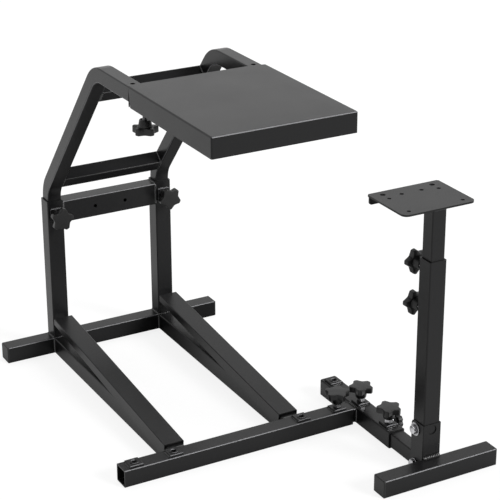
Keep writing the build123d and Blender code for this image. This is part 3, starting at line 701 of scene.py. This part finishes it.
def add_bracket_bolts():
    """Two bolts through the bracket, each with a head, a nut, washers and a threaded end."""
    low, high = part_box("shifter_bracket_bolts")
    cheek_low, cheek_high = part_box("shifter_bracket")
    middle_y = (low.y + high.y) / 2
    mesh = bmesh.new()
    lower = (low.z + LOWER_WASHER_RADIUS, LOWER_WASHER_RADIUS)
    upper = (high.z - UPPER_WASHER_RADIUS, UPPER_WASHER_RADIUS)
    through = cheek_low.x - cheek_high.x
    head_top = WASHER_THICK + BOLT_HEAD_HEIGHT
    nut_top = WASHER_THICK + BOLT_NUT_HEIGHT
    for z, radius in (lower, upper):
        head_side = standing((cheek_low.x, middle_y, z), (-1, 0, 0), (0, 1, 0))
        nut_side = standing((cheek_high.x, middle_y, z), (1, 0, 0), (0, 1, 0))
        for side in (head_side, nut_side):
            turned(mesh, washer_profile(radius), side)
        loft(mesh, hex_rings(NUT_ACROSS, WASHER_THICK, head_top, False), head_side)
        loft(mesh, hex_rings(NUT_ACROSS, WASHER_THICK, nut_top, True), nut_side)
        loft(mesh, thread_rings(through, nut_top + BOLT_END), nut_side)
    bolts = make_piece("bracket_bolts_and_washers", mesh, "shifter_stand", "zinc_steel")
    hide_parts("shifter_bracket_bolts")


def add_collar(name, places, body):
    """Low ring round each hole, with a chamfered mouth; the places are on the plates' upper faces."""
    mesh = bmesh.new()
    profile = [
        (PLATE_HOLE, 0),
        (COLLAR_RADIUS, 0),
        (COLLAR_RADIUS, COLLAR_HEIGHT - COLLAR_EDGE),
        (COLLAR_RADIUS - COLLAR_EDGE, COLLAR_HEIGHT),
        (PLATE_HOLE_MOUTH, COLLAR_HEIGHT),
    ]
    for place in places:
        turned_ring(mesh, profile, standing(place, (0, 0, 1), (1, 0, 0)))
    make_piece(name, mesh, body, "powder_coat")


def bead_rings(start, end, across, up, dice):
    """Rippled weld bead from start to end; across and up are its half width and height."""
    run = end - start
    length = run.length
    pitch = max(BEAD_PITCH, BEAD_SPACING * across.length) * dice.uniform(*BEAD_STRETCH)
    rows = max(BEAD_LEAST_ROWS, round(length / pitch * BEAD_ROWS))
    swells = [dice.uniform(*BEAD_SWELL) for _ in range(int(length / pitch) + BEAD_SPARE_SWELLS)]
    rings = []
    for row in range(rows + 1):
        far = length * row / rows
        near_end = min(1, max(0, min(far, length - far)) / BEAD_TAPER)
        size = BEAD_END + (1 - BEAD_END) * math.sqrt(1 - (1 - near_end) ** 2)
        ring = []
        for angle in even_angles(BEAD_SIDES):
            place = max(0, far / pitch + BEAD_BOW * math.sin(angle))
            wave = abs(math.sin(math.pi * place)) - BEAD_RIPPLE_MIDDLE
            ripple = 1 + BEAD_RIPPLE * swells[int(place)] * wave
            offset = (across * math.cos(angle) + up * math.sin(angle)) * size * ripple
            ring.append(start + run * row / rows + offset)
        rings.append(ring)
    return rings


class Welds:
    """Beads that are gathered for one body and made as one mesh."""

    def __init__(self, body):
        self.body = body
        self.mesh = bmesh.new()
        self.dice = random.Random(body)

    def bead(self, middle, along, across, up):
        """Bead over the vector along, half to each side of its middle."""
        middle = Vector(middle)
        along = Vector(along)
        start = middle - along / 2
        end = middle + along / 2
        rings = bead_rings(start, end, Vector(across), Vector(up), self.dice)
        loft(self.mesh, rings, Matrix.Identity(4))

    def fillet(self, middle, along, out, rise, size):
        """Bead in the inside corner between a face that runs along out and one that runs along rise."""
        out = Vector(out).normalized()
        rise = Vector(rise).normalized()
        across = (out - rise) * size * FILLET_WIDTH
        self.bead(middle, along, across, (out + rise) * size * FILLET_RISE)

    def groove(self, middle, along, out, rise, size):
        """Flat bead over a seam between two faces that lie in one plane, which faces out."""
        out = Vector(out).normalized()
        rise = Vector(rise).normalized()
        sunk = Vector(middle) - out * size * GROOVE_SINK
        self.bead(sunk, along, rise * size * GROOVE_WIDTH, out * size * GROOVE_RISE)

    def tube_end(self, middle, rise, sides, size):
        """Beads round the end of a tube that leaves a face along rise. Each side is its half width as a
        vector, half its length, and the style of its bead: groove where it is flush with the other tube."""
        for side, half_length, style in sides:
            side = Vector(side)
            along = side.cross(Vector(rise)).normalized() * 2 * (half_length - TUBE_CORNER / 2)
            style(Vector(middle) + side, along, side, rise, size)

    def finish(self, name):
        """Piece with that name from the beads so far."""
        make_piece(name, self.mesh, self.body, "powder_coat", "weld_coat")


def solids_of(node):
    """Lowest and highest corners of each separate solid in a node."""
    mesh = bmesh.new()
    mesh.from_mesh(frame["nodes"][node].data)
    bmesh.ops.remove_doubles(mesh, verts=mesh.verts, dist=MERGE)
    left = set(mesh.verts)
    boxes = []
    while left:
        group = []
        queue = [left.pop()]
        while queue:
            vertex = queue.pop()
            group.append(vertex.co)
            for edge in vertex.link_edges:
                other = edge.other_vert(vertex)
                if other in left:
                    left.remove(other)
                    queue.append(other)
        low = Vector(min(co[axis] for co in group) for axis in range(3))
        high = Vector(max(co[axis] for co in group) for axis in range(3))
        boxes.append((low.copy(), high.copy()))
    mesh.free()
    return sorted(boxes, key=lambda corners: tuple(corners[0]))


def middle_and_half(corners):
    """Middle of a box and half its size, from its lowest and highest corners."""
    low, high = corners
    return (low + high) / 2, (high - low) / 2


def weld_plates(welds, node, tube_axis, normal):
    """Beads on the two edges of each nut plate that cross its tube."""
    tube_axis = Vector(tube_axis)
    normal = Vector(normal)
    edge = tube_axis.cross(normal)
    for corners in solids_of(node):
        middle, half = middle_and_half(corners)
        seat = middle - normal * abs(half.dot(normal))
        reach = abs(half.dot(tube_axis))
        for side in (-1, 1):
            along = edge * 2 * (reach - TUBE_CORNER)
            welds.fillet(seat + side * reach * tube_axis, along, side * tube_axis, normal, PLATE_BEAD)


def weld_base():
    """Beads at the feet of the posts, the ends of the rails and the crossbeam, and the nut plates."""
    welds = Welds("base_frame")
    for word in ("left", "right"):
        middle, half = middle_and_half(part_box(f"{word}_post"))
        foot = middle - Vector((0, 0, half.z))
        welds.tube_end(foot, (0, 0, 1), [
            ((half.x, 0, 0), half.y, welds.fillet),
            ((-half.x, 0, 0), half.y, welds.fillet),
            ((0, -half.y, 0), half.x, welds.fillet),
        ], FILLET_BEAD)
        middle, half = middle_and_half(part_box(f"{word}_rail"))
        cheeks = [((half.x, 0, 0), half.z, welds.fillet), ((-half.x, 0, 0), half.z, welds.fillet)]
        top = [((0, 0, half.z), half.x, welds.groove)]
        welds.tube_end(middle + Vector((0, half.y, 0)), (0, -1, 0), cheeks, FILLET_BEAD)
        welds.tube_end(middle - Vector((0, half.y, 0)), (0, 1, 0), cheeks + top, FILLET_BEAD)
    middle, half = middle_and_half(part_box("crossbeam"))
    for side in (-1, 1):
        welds.tube_end(middle + Vector((side * half.x, 0, 0)), (-side, 0, 0), [
            ((0, 0, half.z), half.y, welds.fillet),
            ((0, 0, -half.z), half.y, welds.fillet),
            ((0, -half.y, 0), half.z, welds.groove),
        ], GROOVE_BEAD)
    weld_plates(welds, "post_nut_plates", (0, 0, 1), (0, -1, 0))
    weld_plates(welds, "front_bar_nut_plates", (1, 0, 0), (0, 0, 1))
    welds.finish("base_frame_welds")


def weld_wheel_frame():
    """Beads at the ends of the two braces."""
    welds = Welds("wheel_frame")
    lower = middle_and_half(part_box("middle_brace"))[0]
    upper, half = middle_and_half(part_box("upper_brace"))
    lean = (upper - lower).normalized()
    facing = lean.cross(Vector((1, 0, 0)))
    tube_low, tube_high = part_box("left_bent_tube")
    reach = (tube_high.x - tube_low.x) / 2
    for middle in (lower, upper):
        for side in (-1, 1):
            welds.tube_end(middle + Vector((side * half.x, 0, 0)), (-side, 0, 0), [
                (lean * reach, reach, welds.fillet),
                (-lean * reach, reach, welds.fillet),
                (facing * reach, reach, welds.groove),
                (-facing * reach, reach, welds.groove),
            ], GROOVE_BEAD)
    welds.finish("wheel_frame_welds")


def weld_shifter():
    """Beads on the sleeve, at the foot of the bracket's web and under the shifter plate."""
    welds = Welds("shifter_support")
    middle, half = middle_and_half(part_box("shifter_stub"))
    welds.tube_end(middle + Vector((half.x, 0, 0)), (-1, 0, 0), [
        ((0, half.y, 0), half.z, welds.fillet),
        ((0, -half.y, 0), half.z, welds.fillet),
        ((0, 0, half.z), half.y, welds.fillet),
        ((0, 0, -half.z), half.y, welds.fillet),
    ], FILLET_BEAD)
    weld_plates(welds, "shifter_sleeve_nut_plates", (0, 1, 0), (0, 0, 1))
    welds.finish("shifter_sleeve_welds")

    welds = Welds("shifter_stand")
    foot_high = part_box("shifter_foot")[1]
    middle, half = middle_and_half(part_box("shifter_bracket"))
    web_foot = Vector((middle.x, foot_high.y - WEB_SINK, foot_high.z + WEB_LIFT))
    welds.fillet(web_foot, (2 * (half.x - TUBE_CORNER / 2), 0, 0), (0, -1, 0), (0, 0, 1), WEB_BEAD)
    weld_plates(welds, "shifter_post_nut_plates", (0, 0, 1), (0, 1, 0))
    welds.finish("shifter_stand_welds")

    welds = Welds("shifter_head")
    middle, half = middle_and_half(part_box("shifter_inner_post"))
    welds.tube_end(middle + Vector((0, 0, half.z)), (0, 0, -1), [
        ((half.x, 0, 0), half.y, welds.fillet),
        ((-half.x, 0, 0), half.y, welds.fillet),
        ((0, half.y, 0), half.x, welds.fillet),
        ((0, -half.y, 0), half.x, welds.fillet),
    ], FILLET_BEAD)
    welds.finish("shifter_plate_welds")


def add_collars():
    """Collars on the level nut plates that no knob stands on."""
    used = [knob_hinge(node)[0] for node in KNOB_TURN]
    for name, node, body in (
        ("front_bar_collars", "front_bar_nut_plates", "base_frame"),
        ("sleeve_collar", "shifter_sleeve_nut_plates", "shifter_support"),
    ):
        tops = []
        for corners in solids_of(node):
            middle, half = middle_and_half(corners)
            top = middle + Vector((0, 0, half.z))
            if min((top - point).length for point in used) > PLATE_HOLE:
                tops.append(top)
        add_collar(name, tops, body)


bpy.context.scene.view_settings.view_transform = "Standard"
make_world()
make_floor()
make_light("key", KEY_LEVEL, KEY_DIRECTION, KEY_ANGLE)
make_light("top", TOP_LEVEL, TOP_DIRECTION, TOP_ANGLE)
make_camera()
dress_frame()
for knob in KNOB_TURN:
    add_knob(knob)
add_bracket_bolts()
add_collars()
weld_base()
weld_wheel_frame()
weld_shifter()
